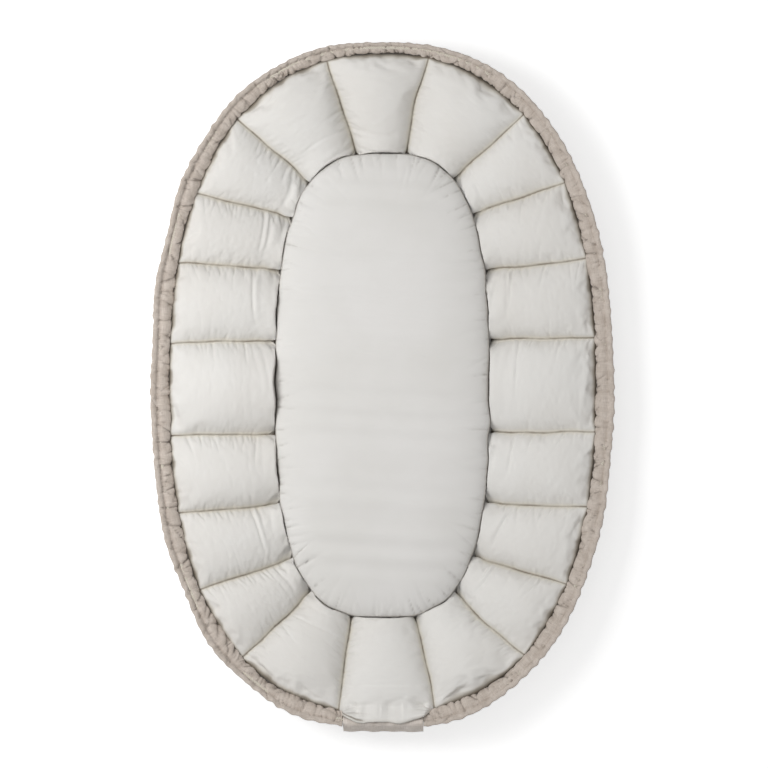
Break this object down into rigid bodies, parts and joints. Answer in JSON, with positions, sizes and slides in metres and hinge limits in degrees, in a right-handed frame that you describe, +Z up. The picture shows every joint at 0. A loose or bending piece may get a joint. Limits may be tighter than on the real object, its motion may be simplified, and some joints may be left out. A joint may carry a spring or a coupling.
{
  "type": "infant lounger",
  "caption": "Oval infant lounger: a stuffed wall sewn in radial channels, fallen open round a lift-out sleeping mat, with a gathered drawcord casing on its rim and a flap at the foot.",
  "frame": {"origin": "on the floor, under the middle of the whole object's box", "axes": "+Z up, +Y from foot to head along the length, +X to the right seen from above with the head at the top"},
  "size_m": [0.595, 0.8844, 0.0819],
  "materials": {
    "liner_cotton": "off-white cotton, plain fine weave, puckered along its seams",
    "mattress_cotton": "off-white cotton, plain fine weave, softly padded",
    "casing_linen": "beige melange linen-like cloth, gathered",
    "skirt_linen": "beige melange linen-like cloth",
    "fibre_fill": "matt white polyester fibre",
    "mattress_foam": "matt cream foam and wadding",
    "cotton_cord": "round braided cotton cord"
  },
  "bodies": {
    "nest": {"base_outer": "skirt_linen", "base_wadding": "fibre_fill", "base_lining": "liner_cotton", "wall_liner": "liner_cotton", "wall_skirt": "skirt_linen", "wall_fill_01": "fibre_fill", "wall_fill_02": "fibre_fill", "wall_fill_03": "fibre_fill", "wall_fill_04": "fibre_fill", "wall_fill_05": "fibre_fill", "wall_fill_06": "fibre_fill", "wall_fill_07": "fibre_fill", "wall_fill_08": "fibre_fill", "wall_fill_09": "fibre_fill", "wall_fill_10": "fibre_fill", "wall_fill_11": "fibre_fill", "wall_fill_12": "fibre_fill", "wall_fill_13": "fibre_fill", "wall_fill_14": "fibre_fill", "wall_fill_15": "fibre_fill", "wall_fill_16": "fibre_fill", "wall_fill_17": "fibre_fill", "wall_fill_18": "fibre_fill", "wall_fill_19": "fibre_fill", "wall_fill_20": "fibre_fill", "rim_casing": "casing_linen", "rim_drawcord": "cotton_cord", "drawcord_knot": "cotton_cord"},
    "flap": {"foot_flap": "casing_linen"},
    "mattress": {"mattress_top_cover": "mattress_cotton", "mattress_under_cover": "mattress_cotton", "mattress_core": "mattress_foam"}
  },
  "joints": [
    {"name": "mattress_lift", "type": "slide", "parent": "nest", "child": "mattress", "axis": [0, 0, 1], "range_m": [0, 0.16]},
    {"name": "flap_hinge", "type": "hinge", "parent": "nest", "child": "flap", "pos_m": [0, -0.42098, 0.06153], "axis": [-1, 0, 0], "range_deg": [0, 50]}
  ]
}
